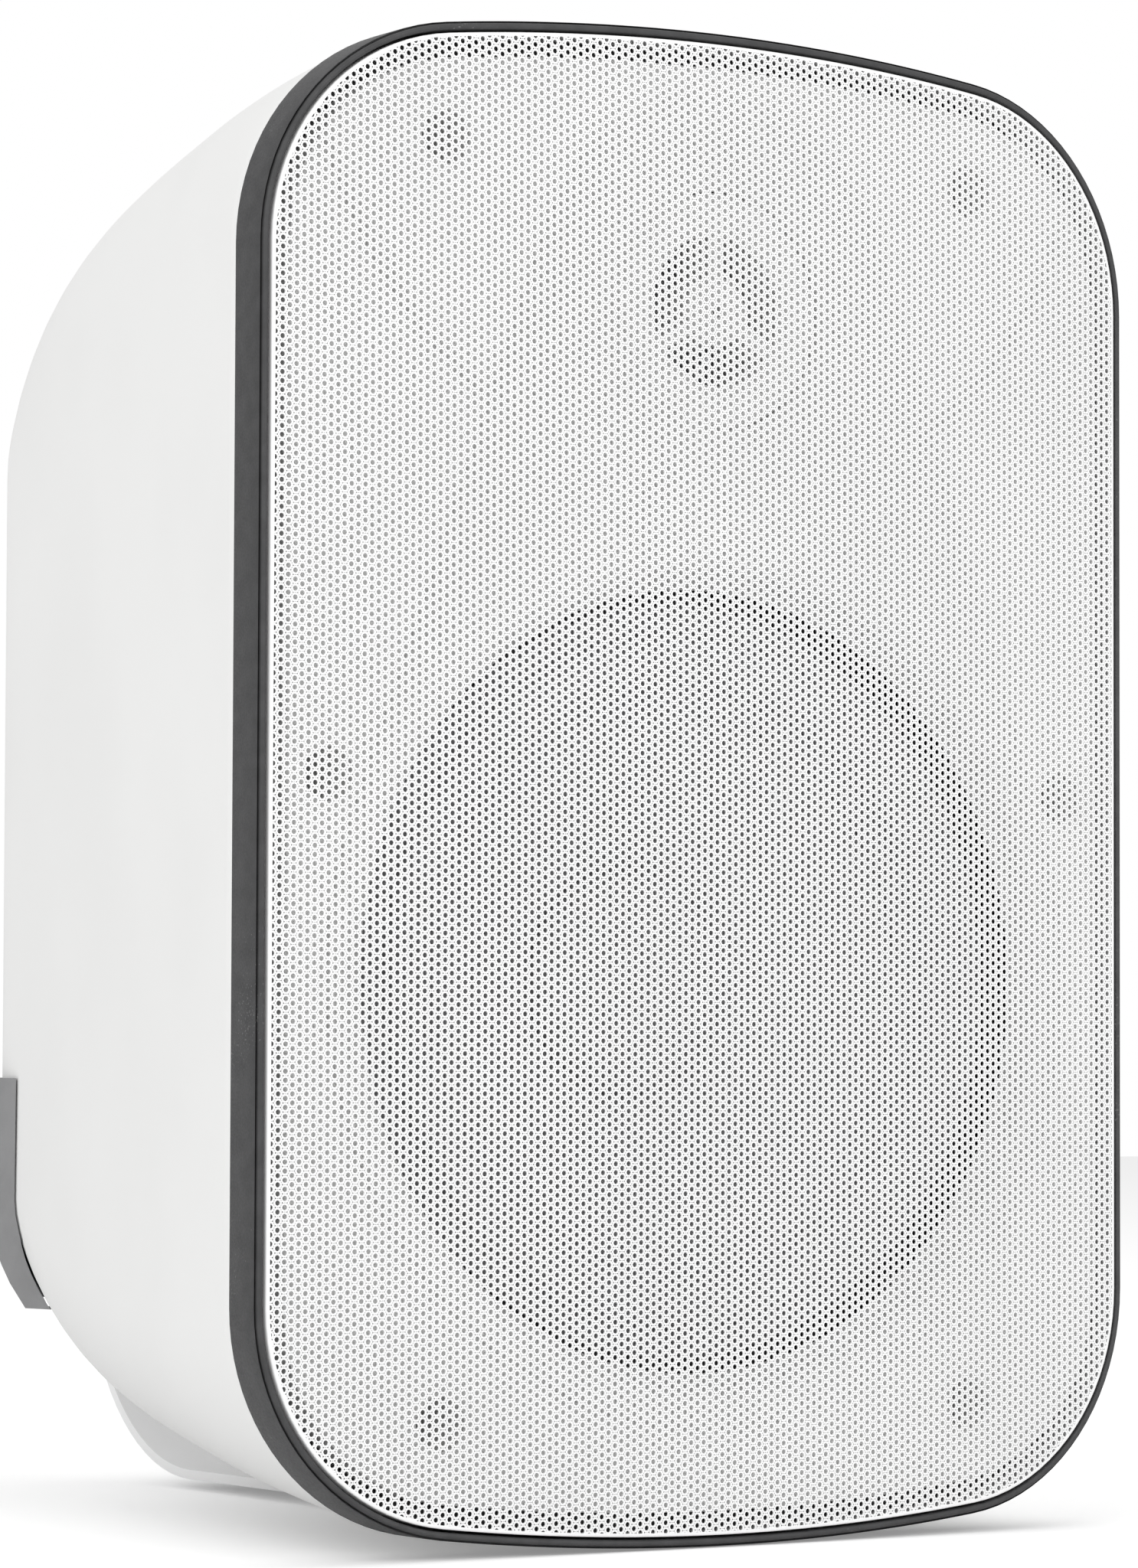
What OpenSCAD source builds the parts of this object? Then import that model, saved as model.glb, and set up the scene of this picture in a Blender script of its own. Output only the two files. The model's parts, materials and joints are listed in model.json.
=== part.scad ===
// Two-way wall speaker on a swivelling U-bracket. Millimetres, +Z up.
// The front faces -Y and the origin is at the middle of the footprint.

/* [Front] */
// Width across the front rim
rim_w = 197; // [190:1:210]
// Height of the front rim
rim_h = 285; // [276:1:305]
// Radius of the rim's four corners
rim_corner = 43; // [36:1:48]
// Radius of the arched top and bottom edges
rim_arch = 528; // [450:10:900]
// Depth of the rim's side band
rim_depth = 9.4; // [8.8:0.1:12]
// Width of the lip seen round the grille
lip_w = 1.6; // [1.4:0.1:2.4]
// Depth of the groove line between lip and side band
groove_d = 0.5; // [0.2:0.1:0.8]
// Thickness of the rim's ledges and flanges
rim_wall = 2; // [1.6:0.1:2.6]

/* [Grille] */
// Bow of the grille from its middle to its side edges
grille_bow = 4; // [2:0.5:4.5]
// Thickness of the grille sheet
grille_t = 0.6; // [0.5:0.1:1]
// Gap between the grille and the rim's lip
grille_gap = 0.5; // [0.3:0.1:0.8]
// Depth of the edge turned back at the side of the grille
grille_return = 3; // [2:0.5:4]
// Spacing of the real sheet's holes
hole_pitch = 1.63; // [1.5:0.01:2]
// Diameter of the real sheet's holes
hole_d = 0.93; // [0.8:0.01:1]
// How many times coarser the holes are drawn here than on the real sheet
hole_coarse = 9; // [7:1:12]

/* [Cabinet] */
// Depth of the cabinet behind the rim
cabinet_d = 160.2; // [145:0.2:175]
// Slope of the side walls in degrees
side_taper = 12; // [8:0.5:14]
// Share of its height that the cabinet loses towards the back
height_taper = 0.143; // [0.08:0.001:0.2]
// Radius of the cabinet's four long corners, away from the rim
cabinet_corner = 34; // [28:1:40]
// Depth over which the rim's corner radius turns into the cabinet's
corner_blend = 45; // [30:1:60]
// Wall of the cabinet
cabinet_wall = 2.7; // [2.2:0.1:3.2]
// Step from the rim's edge in to the cabinet's
cabinet_step = 0.5; // [0.2:0.1:1]
// Radius of the upright corners at the back
back_corner = 8; // [5:1:12]
// Lower edge of the raised pad on the back, from the middle of the rim
pad_z = 57; // [50:1:70]
// Height of the raised pad on the back
pad_h = 30; // [20:1:36]
// How far the pad stands out
pad_proud = 1; // [0.6:0.1:1.5]

/* [Baffle] */
// Thickness of the baffle
baffle_t = 3; // [2.5:0.1:3.5]
// Diameter of the screw counterbores
counterbore_d = 10; // [8:0.5:10]
// Depth of the screw cups behind the baffle
cup_depth = 9.4; // [7:0.2:12]
// From the rim's side edge in to the corner screws
corner_screw_in = 38.5; // [36:0.5:44]
// Height of the corner screws from the middle
screw_z = 118; // [112:1:120]
// From the rim's side edge in to the two middle screws
mid_screw_in = 15; // [14.5:0.5:17]
// Diameter of the baffle screws
screw_d = 4; // [3:0.5:4.5]

/* [Woofer] */
// Height of the woofer's axis from the middle of the rim
woofer_z = -36.7; // [-40:0.1:-34]
// From the rim's side edge in to the raised ring round the woofer
bezel_in = 14.5; // [14:0.5:18]
// Width of the raised ring, from its edge to the opening over the cone
bezel_w = 11; // [10:0.5:12]
// From the raised ring's edge in to the edge of the woofer's frame
frame_in = 1; // [0.5:0.5:2]
// From the opening's edge in to the edge of the cone
cone_in = 18; // [17:0.5:20]
// Depth of the cone
cone_depth = 24; // [20:0.5:28]
// Travel of the cone each way
cone_travel = 3; // [2:0.5:3]
// Radius of the voice coil former
coil_r = 12.7; // [12.5:0.1:14]
// Outer radius of the woofer's magnet
magnet_r = 45; // [40:1:50]
// Height of the woofer's magnet
magnet_h = 14; // [12:1:18]

/* [Tweeter] */
// Height of the tweeter's axis from the middle of the rim
tweeter_z = 90; // [87:0.5:92]
// Radius of the tweeter's dish
dish_r = 22.4; // [20:0.2:24]
// Radius of the three curved slots
slot_r = 14.3; // [13.5:0.1:15]
// Radius of the hub between the slots
hub_r = 6.7; // [5:0.1:8]
// Width of the arms between the slots
arm_w = 2.8; // [2:0.2:4]
// Radius of the dome
dome_r = 12.5; // [12:0.1:13]

/* [Terminals] */
// Height of the terminal cover's middle from the rim's bottom edge
cover_up = 63; // [61:0.5:69]
// Height of the terminal cover
cover_h = 47; // [44:1:50]
// Width of the terminal cover
cover_w = 128; // [118:1:130]
// How far the cover stands out from the back
cover_proud = 4.5; // [3.5:0.5:6]
// Angle through which a terminal lever is pressed in
lever_open = 25; // [15:1:30]

/* [Bracket] */
// Width of the bracket
bracket_w = 36; // [30:1:40]
// From the rim's top and bottom edges in to the bracket's arms
bracket_in = 2; // [1.5:0.1:2.5]
// Distance from the grille's crown to the bracket's back face
bracket_reach = 214; // [206:1:225]
// Thickness of the bracket's arms
arm_t = 3; // [2.5:0.1:3.5]
// Thickness of the bracket's back
bracket_t = 7; // [5:0.5:8]
// Outer radius of the bracket's bends
bend_r = 46; // [36:1:50]
// Distance from the grille's crown to the pivots
pivot_y = 80; // [76:1:84]
// Spacing of the two wall holes
wall_pitch = 120; // [80:5:130]
// Diameter of the wall holes
wall_hole_d = 5.5; // [4.5:0.5:6.5]

/* [Hidden] */

$fn = 64;
fit = 0.2;
front_y = -bracket_reach / 2;
mid_z = rim_h / 2;
white = "#f0f0ee";
dark = "#4a4a4a";
steel = "#b8babc";

// Places along the depth, from the grille's crown
lip_y = 0.4;
ledge_y = grille_bow + grille_return;
rim_back_y = max(lip_y + rim_depth, ledge_y + rim_wall);
baffle_y = ledge_y + 0.6;
baffle_back_y = baffle_y + baffle_t;
gasket_t = 1;
flange_y = baffle_back_y + gasket_t;
flange_back_y = flange_y + rim_wall;
cup_y = baffle_back_y + cup_depth;
back_y = rim_back_y + cabinet_d;

// Insets from the rim's outline
slope = tan(side_taper);
cabinet_in = cabinet_step + cabinet_wall;
spigot_in = cabinet_in + slope * (flange_back_y - rim_back_y) + fit;
ledge_in = lip_w + grille_gap + 4.1;
baffle_in = ledge_in + fit;
flange_in = ledge_in + 2;
grille_in = lip_w + grille_gap;
boss_d = screw_d + 5;
screw_x = rim_w / 2 - corner_screw_in;
mid_screw_x = rim_w / 2 - mid_screw_in;
screw_l = 16;
cup_r = counterbore_d / 2 + 1;

// Radii and stations of the woofer
bezel_r = rim_w / 2 - bezel_in;
woofer_open_r = bezel_r - bezel_w;
woofer_r = bezel_r - frame_in;
cone_r = woofer_open_r - cone_in;
basket_y = baffle_back_y + gasket_t;
basket_t = 2;
surround_y = basket_y - 0.6;
cone_back_y = basket_y + cone_depth;
spider_y = cone_back_y + 5;
spider_r = cone_r - 9;
plate_y = spider_y + 14;
plate_t = 5;
magnet_y = plate_y + plate_t;
yoke_y = magnet_y + magnet_h;
yoke_t = 5;
former_t = 0.4;
winding_t = 0.4;
coil_gap = 0.45;
plate_bore_r = coil_r + former_t + winding_t + coil_gap;
screw_ring_r = (woofer_open_r + woofer_r) / 2 + 0.5;
driver_screw_r = 1.4;
driver_screw_in = 2;

// Stations of the tweeter along the depth
tweeter_flange_r = dish_r + 8;
tweeter_screw_r = (dish_r + tweeter_flange_r) / 2 + 0.4;
dome_y = baffle_back_y + 8.4;
tweeter_wall_r = dome_r + 7.5;

// Points of the rim's outline, moved in by an inset, anticlockwise seen from the front
corner_steps = 7;
arch_steps = 3;
arch_c = rim_h / 2 - rim_arch;
function corner_x(r) = rim_w / 2 - r;
function corner_z(r) = arch_c + sqrt(pow(rim_arch - r, 2) - pow(corner_x(r), 2));
function tangent_a(r) = atan2(corner_z(r) - arch_c, corner_x(r));
function quarter(d, r) = let (tangent = tangent_a(r)) concat(
    [for (i = [0:corner_steps]) let (a = tangent * i / corner_steps)
        [corner_x(r) + (r - d) * cos(a), corner_z(r) + (r - d) * sin(a)]],
    [for (i = [1:arch_steps]) let (a = tangent + (90 - tangent) * i / arch_steps)
        [(rim_arch - d) * cos(a), arch_c + (rim_arch - d) * sin(a)]]);
function reversed(list) = [for (i = [len(list) - 1:-1:0]) list[i]];
function half(d, r) = let (q = quarter(d, r))
    concat(q, [for (p = reversed(q)) if (p.x > 0.01) [-p.x, p.y]]);
function outline(d, r = rim_corner) = let (h = half(d, r)) concat(h, [for (p = reversed(h)) [p.x, -p.y]]);

// Shape of the cabinet: t runs from 0 at the rim to 1 at the back
back_power = 5.5;
round_power = 6.2;
function body_y(t) = rim_back_y + cabinet_d * t;
function corner_loss(y) = let (e = max(0, y - (back_y - back_corner)))
    back_corner - sqrt(max(0, back_corner * back_corner - e * e));
function body_w(y) = rim_w / 2 - cabinet_step - slope * (y - rim_back_y) - corner_loss(y);
function body_share(t) = (1 - height_taper * t) * pow(max(0, 1 - pow(t, back_power)), 1 / round_power);
function body_h(y) = (rim_h / 2 - cabinet_step) * body_share((y - rim_back_y) / cabinet_d);
function body_corner(y) = cabinet_corner
    + (rim_corner - cabinet_corner) * pow(max(0, 1 - (y - rim_back_y) / corner_blend), 2);
// Height of an outline with corner radius r at a distance from the middle
function outline_z(x, r) = x <= rim_arch * cos(tangent_a(r))
    ? arch_c + sqrt(rim_arch * rim_arch - x * x)
    : corner_z(r) + sqrt(max(0, r * r - pow(x - corner_x(r), 2)));
function top_z(x, y) = body_h(y) / (rim_h / 2) * outline_z(abs(x) * (rim_w / 2) / body_w(y), body_corner(y));
blend_rings = 4;
back_rings = 11;
stations = concat([for (i = [0:blend_rings]) corner_blend / cabinet_d * i / blend_rings],
    [for (i = [1:back_rings]) pow(sin(88 * i / back_rings), 2 / back_power)]);
function ring(t, d) = let (y = body_y(t), w = body_w(y) - d, h = body_h(y) - d)
    [for (p = outline(0, body_corner(y))) [p.x * w / (rim_w / 2), y - d * pow(t, 12), p.y * h / (rim_h / 2)]];

// Depth of the cabinet's surface at a place in the back view, found by halving
function within(x, y, z) = abs(x) < body_w(y) && abs(z) < top_z(x, y);
function surface_y(x, z, lo = rim_back_y, hi = back_y, n = 16) = let (m = (lo + hi) / 2)
    n == 0 ? m : within(x, m, z) ? surface_y(x, z, m, hi, n - 1) : surface_y(x, z, lo, m, n - 1);
function back_depth(z) = surface_y(0, z);

// Puts a shape that is drawn with the grille's crown at y = 0 and the rim's middle at z = 0
module place() translate([0, front_y, mid_z]) children();

// A flat outline in the front view, thick from depth y0 to depth y1
module plate(y0, y1) translate([0, y1, 0]) rotate([90, 0, 0]) linear_extrude(y1 - y0) children();

// A band between two insets of the rim's outline
module band(y0, y1, d0, d1) plate(y0, y1) difference() {
    polygon(outline(d0));
    polygon(outline(d1));
}

// The rim's outline drawn smaller, as the cabinet's mouth is
module mouth(d) polygon([for (p = outline(0)) [p.x * (1 - 2 * d / rim_w), p.y * (1 - 2 * d / rim_h)]]);

// A flat outline in the side view, given as [depth, height], carried across a width
module across(w) translate([-w / 2, 0, 0]) rotate([90, 0, 90]) linear_extrude(w) children();

// A turned shape about an axis along the depth at height z, from points [radius, depth]
module turned(z, points) translate([0, 0, z]) rotate([-90, 0, 0]) rotate_extrude() polygon(points);

// A round bar along the depth
module bar(x, z, y0, y1, r) translate([x, y0, z]) rotate([-90, 0, 0]) cylinder(r = r, h = y1 - y0);

// The places of the six baffle screws
module screw_places() {
    for (sx = [-1, 1]) {
        for (sz = [-1, 1]) translate([sx * screw_x, 0, sz * screw_z]) children();
        translate([sx * mid_screw_x, 0, 0]) children();
    }
}

// A solid with the cabinet's shape, its walls moved in by d; a negative d moves them out
module body_loft(d, first_y, first_t = 0) {
    rings = concat([[for (p = ring(first_t, d)) [p.x, first_y, p.z]]],
        [for (t = stations) if (t > first_t) ring(t, d)]);
    n = len(rings[0]);
    m = len(rings);
    polyhedron(points = [for (r = rings) for (p = r) p],
        faces = concat([[for (i = [n - 1:-1:0]) i]], [[for (i = [0:n - 1]) (m - 1) * n + i]],
            [for (j = [0:m - 2]) for (i = [0:n - 1])
                [j * n + i, j * n + (i + 1) % n, (j + 1) * n + (i + 1) % n, (j + 1) * n + i]]));
}

// Part of the cabinet's shape, moved out by d, that lies between two heights on the back
module back_piece(d, w, z0, z1) intersection() {
    body_loft(-d, body_y(0.6), 0.6);
    translate([-w / 2, body_y(0.62), z0]) cube([w, cabinet_d, z1 - z0]);
}

// Pocket in the back for the terminals
cover_z = cover_up - rim_h / 2;
pocket_w = 84;
pocket_h = 36;
pocket_y = back_depth(abs(cover_z) + pocket_h / 2) - 8;
pocket_wall = 2.4;

module pocket_block(grow, y0, y1) translate([-pocket_w / 2 - grow, y0, cover_z - pocket_h / 2 - grow])
    cube([pocket_w + 2 * grow, y1 - y0, pocket_h + 2 * grow]);

// Pivot of the bracket
eye_t = arm_t + 1.5;
washer_t = 1.5;
arm_z = rim_h / 2 - bracket_in;
boss_z = arm_z - eye_t - washer_t;
pivot_boss_r = 9;
insert_r = 4.5;
insert_h = 12;
insert_floor = 6;
washer_r = 13;
pad_r = washer_r + 2;
pad_low = body_h(pivot_y) - cabinet_wall - 0.5;
bolt_r = 3;

module pivot_places() for (s = [-1, 1]) scale_z(s) translate([0, pivot_y, 0]) children();
module scale_z(s) if (s > 0) children(); else mirror([0, 0, 1]) children();

module cabinet_shell($fn = 24) color(white) place() difference() {
    union() {
        difference() {
            union() {
                body_loft(0, rim_back_y);
                back_piece(pad_proud, 2 * pad_x, pad_z, pad_z + pad_h);
            }
            body_loft(cabinet_wall, rim_back_y - 1);
        }
        screw_bosses();
        pocket_block(pocket_wall, pocket_y - pocket_wall, pocket_y + 6);
        board_screw_places() bar(0, 0, board_y, pocket_y - pocket_wall + 0.5, post_r);
        pivot_places() translate([0, 0, boss_z - insert_h - insert_floor])
            cylinder(r = pivot_boss_r, h = insert_h + insert_floor);
        pivot_places() translate([0, 0, pad_low]) cylinder(r = pad_r, h = boss_z - pad_low);
    }
    pocket_block(0, pocket_y, back_y + 5);
    pivot_places() translate([0, 0, boss_z]) cylinder(r = bracket_w / 2 + 1.5, h = 20);
    pivot_places() translate([0, 0, boss_z - insert_h]) cylinder(r = insert_r, h = insert_h + 1);
    screw_places() bar(0, 0, cup_y - 1, cup_y + 18, screw_d / 2 - 0.3);
    terminal_screw_places() bar(0, 0, pocket_y - 2, pocket_y + 1, 1.2);
    cover_screw_places() bar(0, 0, back_y - 30, back_y + 1, 1.2);
    board_screw_places() bar(0, 0, board_y - 1, board_y + post_h, board_screw_r + 0.1);
    plug_hole();
}

// Half width of the raised pad, short of the rounded corners
pad_x = body_w(back_y - back_corner) - back_corner;

// Way for the leads from the terminals into the cabinet
module plug_hole() translate([-20, pocket_y - 5, cover_z - 4]) cube([40, 10, 8]);

// Bosses for the baffle screws, each on a rib from the wall
boss_l = 22;
rib_t = 3;
module screw_bosses() {
    screw_places() bar(0, 0, cup_y, cup_y + boss_l, boss_d / 2);
    for (sx = [-1, 1]) {
        translate([0, 0, -rib_t / 2]) linear_extrude(rib_t) polygon([
            [sx * mid_screw_x, cup_y], [sx * rib_x(cup_y), cup_y],
            [sx * rib_x(cup_y + boss_l), cup_y + boss_l], [sx * mid_screw_x, cup_y + boss_l]]);
        for (sz = [-1, 1]) translate([sx * screw_x - rib_t / 2, 0, 0]) rotate([90, 0, 90])
            linear_extrude(rib_t) polygon([
                [cup_y, sz * screw_z], [cup_y, sz * rib_z(cup_y)],
                [cup_y + boss_l, sz * rib_z(cup_y + boss_l)], [cup_y + boss_l, sz * screw_z]]);
    }
}
function rib_x(y) = body_w(y) - cabinet_wall / 2;
function rib_z(y) = top_z(screw_x + rib_t, y) - cabinet_wall / 2;

module front_rim() color(dark) place() {
    band(lip_y, lip_y + lip_w, 0, lip_w);
    band(lip_y + lip_w, lip_y + lip_w + 0.4, groove_d, lip_w);
    band(lip_y + lip_w + 0.4, ledge_y, 0, lip_w);
    band(ledge_y, rim_back_y, 0, ledge_in);
    plate(rim_back_y, flange_y) difference() {
        mouth(spigot_in);
        polygon(outline(ledge_in));
    }
    plate(flange_y, flange_back_y) difference() {
        mouth(spigot_in);
        polygon(outline(flange_in));
    }
}

// The grille's front is part of a large upright cylinder
half_w = rim_w / 2 - grille_in;
bow_r = (half_w * half_w + grille_bow * grille_bow) / (2 * grille_bow);
module bowed(t) translate([0, bow_r, -rim_h]) cylinder(r = bow_r - t, h = 2 * rim_h, $fn = 360);

mesh_pitch = hole_pitch * hole_coarse;
mesh_d = hole_d * hole_coarse;
mesh_step = mesh_pitch * sqrt(3) / 2;
// Where a hole of the mesh stays clear of the grille's edge
function in_mesh(x, z) = let (m = grille_in + grille_t + mesh_d / 2 + 1.5,
        w = rim_w / 2 - m, h = rim_h / 2 - m - (rim_arch - sqrt(rim_arch * rim_arch - x * x)),
        c = rim_corner + 4, ex = abs(x) - (w - c), ez = abs(z) - (h - c))
    abs(x) <= w && abs(z) <= h && (ex <= 0 || ez <= 0 || ex * ex + ez * ez <= c * c);

module grille() color("white") place() difference() {
    intersection() {
        plate(-1, ledge_y) polygon(outline(grille_in));
        bowed(0);
    }
    intersection() {
        plate(-1, ledge_y + 1) polygon(outline(grille_in + grille_t));
        bowed(grille_t);
    }
    grille_holes();
}

module grille_holes() {
    nx = ceil(rim_w / 2 / mesh_step);
    nz = ceil(rim_h / 2 / mesh_pitch);
    for (i = [-nx:nx]) for (j = [-nz:nz]) {
        x = i * mesh_step;
        z = (j + (abs(i) % 2) / 2) * mesh_pitch;
        if (in_mesh(x, z)) bar(x, z, -1, grille_bow + grille_t + 1, mesh_d / 2);
    }
}

// Outline of the raised land round both drivers: two circles and their outer tangents
land_r = 40.8;
land_t = 0.8;
module land_outline() {
    dz = tweeter_z - woofer_z;
    a = asin((bezel_r - land_r) / dz);
    translate([0, woofer_z]) circle(bezel_r);
    translate([0, tweeter_z]) circle(land_r);
    polygon([[bezel_r * cos(a), woofer_z + bezel_r * sin(a)], [land_r * cos(a), tweeter_z + land_r * sin(a)],
        [-land_r * cos(a), tweeter_z + land_r * sin(a)], [-bezel_r * cos(a), woofer_z + bezel_r * sin(a)]]);
}

ridge_r = 89.8;
ridge_z = 143.8;
module baffle() color(white) place() difference() {
    union() {
        plate(baffle_y, baffle_back_y) polygon(outline(baffle_in));
        plate(baffle_y - land_t, baffle_y) land_outline();
        // Curved ridge below the tweeter
        plate(baffle_y - land_t, baffle_y) intersection() {
            polygon(outline(baffle_in));
            translate([0, ridge_z]) difference() {
                circle(ridge_r);
                circle(ridge_r - 1.6);
            }
        }
        // Raised ring round the woofer
        turned(woofer_z, [[bezel_r - 5, baffle_y], [bezel_r - 3, baffle_y - 1.4], [bezel_r - 1, baffle_y - 1.4],
            [bezel_r, baffle_y]]);
        screw_places() bar(0, 0, baffle_y, cup_y, cup_r);
    }
    turned(woofer_z, [[0, baffle_y - 5], [woofer_open_r + 7, baffle_y - 5], [woofer_open_r + 7, baffle_y - land_t],
        [woofer_open_r, baffle_back_y], [woofer_open_r, baffle_back_y + 1], [0, baffle_back_y + 1]]);
    bar(0, tweeter_z, baffle_y - 5, baffle_back_y + 1, dish_r + fit);
    screw_places() bar(0, 0, baffle_y - 5, cup_y - rim_wall, counterbore_d / 2);
    screw_places() bar(0, 0, baffle_y, cup_y + 1, screw_d / 2 + fit);
    woofer_screw_places() bar(0, 0, baffle_back_y - driver_screw_in, baffle_back_y + 1, driver_screw_r + 0.1);
    tweeter_screw_places() bar(0, 0, baffle_back_y - driver_screw_in, baffle_back_y + 1, driver_screw_r + 0.1);
}

module baffle_gasket() color("#303030") place()
    band(baffle_back_y, flange_y, baffle_in, flange_in - fit);

module baffle_screws() color(steel) place() screw_places() {
    bar(0, 0, cup_y - rim_wall, cup_y - rim_wall + screw_l, screw_d / 2 - 0.35);
    turned(0, [[0, cup_y - rim_wall - 2.4], [screw_d / 2 + 1, cup_y - rim_wall - 2.2],
        [screw_d / 2 + 1.6, cup_y - rim_wall - 1], [screw_d / 2 + 1.6, cup_y - rim_wall], [0, cup_y - rim_wall]]);
}

module woofer_gasket() color("#303030") place() difference() {
    turned(woofer_z, [[woofer_open_r + 1, baffle_back_y], [woofer_r, baffle_back_y],
        [woofer_r, basket_y], [woofer_open_r + 1, basket_y]]);
    woofer_screw_places() bar(0, 0, baffle_back_y - 1, basket_y + 1, driver_screw_r + 0.2);
}

roll_w = 11.5;
surround_r = cone_r + roll_w;
module woofer_basket() color("#2c2c2e") place() difference() {
    turned(woofer_z, [[surround_r - 0.5, basket_y], [woofer_r, basket_y], [woofer_r, basket_y + basket_t],
        [surround_r + 1.5, basket_y + basket_t], [spider_r + 3, spider_y + 2.4], [spider_r - 4, spider_y + 2.4],
        [spider_r - 8, plate_y - basket_t], [spider_r - 8, plate_y], [plate_bore_r + 2, plate_y],
        [plate_bore_r + 2, plate_y - basket_t], [spider_r - 10, plate_y - basket_t],
        [spider_r - 6, spider_y + 0.6], [spider_r + 1, spider_y + 0.6]]);
    // Windows between the legs
    for (a = [0:60:300]) translate([0, 0, woofer_z]) rotate([0, a, 0])
        translate([-12, basket_y + basket_t + 2, spider_r - 2]) cube([24, spider_y - basket_y - 6, 40]);
    woofer_screw_places() bar(0, 0, basket_y - 1, basket_y + basket_t + 1, driver_screw_r + 0.6);
}

module woofer_screw_places() for (a = [45:90:315]) translate([0, 0, woofer_z]) rotate([0, a, 0])
    translate([screw_ring_r, 0, 0]) children();

module woofer_surround() color("#28282a") place() turned(woofer_z, concat(
    [[surround_r + 5, surround_y], [surround_r + 5, basket_y], [surround_r - 0.2, basket_y]],
    [for (a = [10:20:170]) [cone_r + roll_w / 2 + (roll_w / 2 - 0.8) * cos(a), basket_y - 3.4 * sin(a)]],
    [[cone_r - 4, basket_y], [cone_r - 4, surround_y]],
    [for (a = [170:-20:10]) [cone_r + roll_w / 2 + (roll_w / 2) * cos(a), surround_y - 3.6 * sin(a)]]));

neck_r = coil_r + former_t + 0.3;
knee_r = neck_r + 0.54 * (cone_r - neck_r);
cone_t = 0.8;
module woofer_cone() color("#3a3a3c") place() turned(woofer_z, [[cone_r - 0.4, basket_y + 0.1],
    [cone_r - 0.4, basket_y + 0.9], [cone_r - 5, basket_y + 1], [knee_r, basket_y + cone_depth * 0.42 + cone_t],
    [neck_r + 0.8, cone_back_y + cone_t], [neck_r, cone_back_y + cone_t],
    [neck_r, cone_back_y], [knee_r, basket_y + cone_depth * 0.42], [cone_r - 5, basket_y + 0.1]]);

cap_r = 22;
cap_y = basket_y + cone_depth * (0.42 + 0.58 * (knee_r - cap_r) / (knee_r - neck_r));
module woofer_dust_cap() color("#323234") place() turned(woofer_z, concat(
    [for (i = [0:6]) let (a = 90 * i / 6) [cap_r * sin(a), cap_y - 0.2 - 8 * cos(a)]],
    [for (i = [6:-1:0]) let (a = 90 * i / 6) [(cap_r - 0.7) * sin(a), cap_y - 0.2 - 7.3 * cos(a)]]));

module woofer_spider() color("#b58a3c") place() turned(woofer_z, concat(
    [for (i = [0:14]) [neck_r + (spider_r - neck_r) * i / 14, spider_y + 0.6 * sin(i * 360 * 2.5 / 14) - 0.6]],
    [for (i = [14:-1:0]) [neck_r + (spider_r - neck_r) * i / 14, spider_y + 0.6 * sin(i * 360 * 2.5 / 14)]]));

module voice_coil() color("#c77b30") place() {
    turned(woofer_z, [[coil_r, cone_back_y - 2], [coil_r + former_t, cone_back_y - 2],
        [coil_r + former_t, magnet_y + cone_travel], [coil_r, magnet_y + cone_travel]]);
    turned(woofer_z, [[coil_r + former_t, plate_y - cone_travel],
        [coil_r + former_t + winding_t, plate_y - cone_travel],
        [coil_r + former_t + winding_t, magnet_y + cone_travel], [coil_r + former_t, magnet_y + cone_travel]]);
}

module woofer_top_plate() color(steel) place() turned(woofer_z, [[plate_bore_r, plate_y],
    [magnet_r - 6, plate_y], [magnet_r - 6, magnet_y], [plate_bore_r, magnet_y]]);

module woofer_magnet() color("#3c3d40") place() turned(woofer_z, [[magnet_r * 0.52, magnet_y],
    [magnet_r, magnet_y], [magnet_r, yoke_y], [magnet_r * 0.52, yoke_y]]);

module woofer_yoke() color(steel) place() turned(woofer_z, [[0, plate_y], [coil_r - 0.5, plate_y],
    [coil_r - 0.5, yoke_y], [magnet_r - 3, yoke_y], [magnet_r - 3, yoke_y + yoke_t], [0, yoke_y + yoke_t]]);

module woofer_screws() color(steel) place() woofer_screw_places() {
    bar(0, 0, baffle_back_y - driver_screw_in, basket_y + basket_t, driver_screw_r);
    bar(0, 0, basket_y + basket_t, basket_y + basket_t + 2, 2.4 * driver_screw_r);
}

module tweeter_face() color(white) place() difference() {
    union() {
        turned(tweeter_z, [[0, baffle_y + 0.4], [hub_r - 1, baffle_y + 0.4], [hub_r, baffle_y + 1],
            [slot_r, baffle_y + 1], [dish_r - 0.6, baffle_y], [dish_r, baffle_y + 0.4], [dish_r, baffle_back_y],
            [tweeter_flange_r, baffle_back_y], [tweeter_flange_r, baffle_back_y + 2],
            [tweeter_wall_r, baffle_back_y + 2], [tweeter_wall_r, dome_y], [slot_r + 0.8, dome_y],
            [slot_r + 0.8, baffle_y + 3], [0, baffle_y + 3]]);
    }
    // Three curved slots between arms
    translate([0, 0, tweeter_z]) difference() {
        turned(0, [[hub_r, baffle_y - 1], [slot_r, baffle_y - 1], [slot_r, baffle_y + 4], [hub_r, baffle_y + 4]]);
        for (a = [0:120:240]) rotate([0, a, 0]) translate([-arm_w / 2, baffle_y - 2, 0])
            cube([arm_w, 8, slot_r + 2]);
    }
    bar(0, tweeter_z, baffle_y - 1, baffle_y + 4, 1.2);
    tweeter_screw_places() bar(0, 0, baffle_back_y - 1, baffle_back_y + 3, driver_screw_r + 0.4);
}

module tweeter_screw_places() for (a = [60:120:300]) translate([0, 0, tweeter_z]) rotate([0, a, 0])
    translate([tweeter_screw_r, 0, 0]) children();

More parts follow.
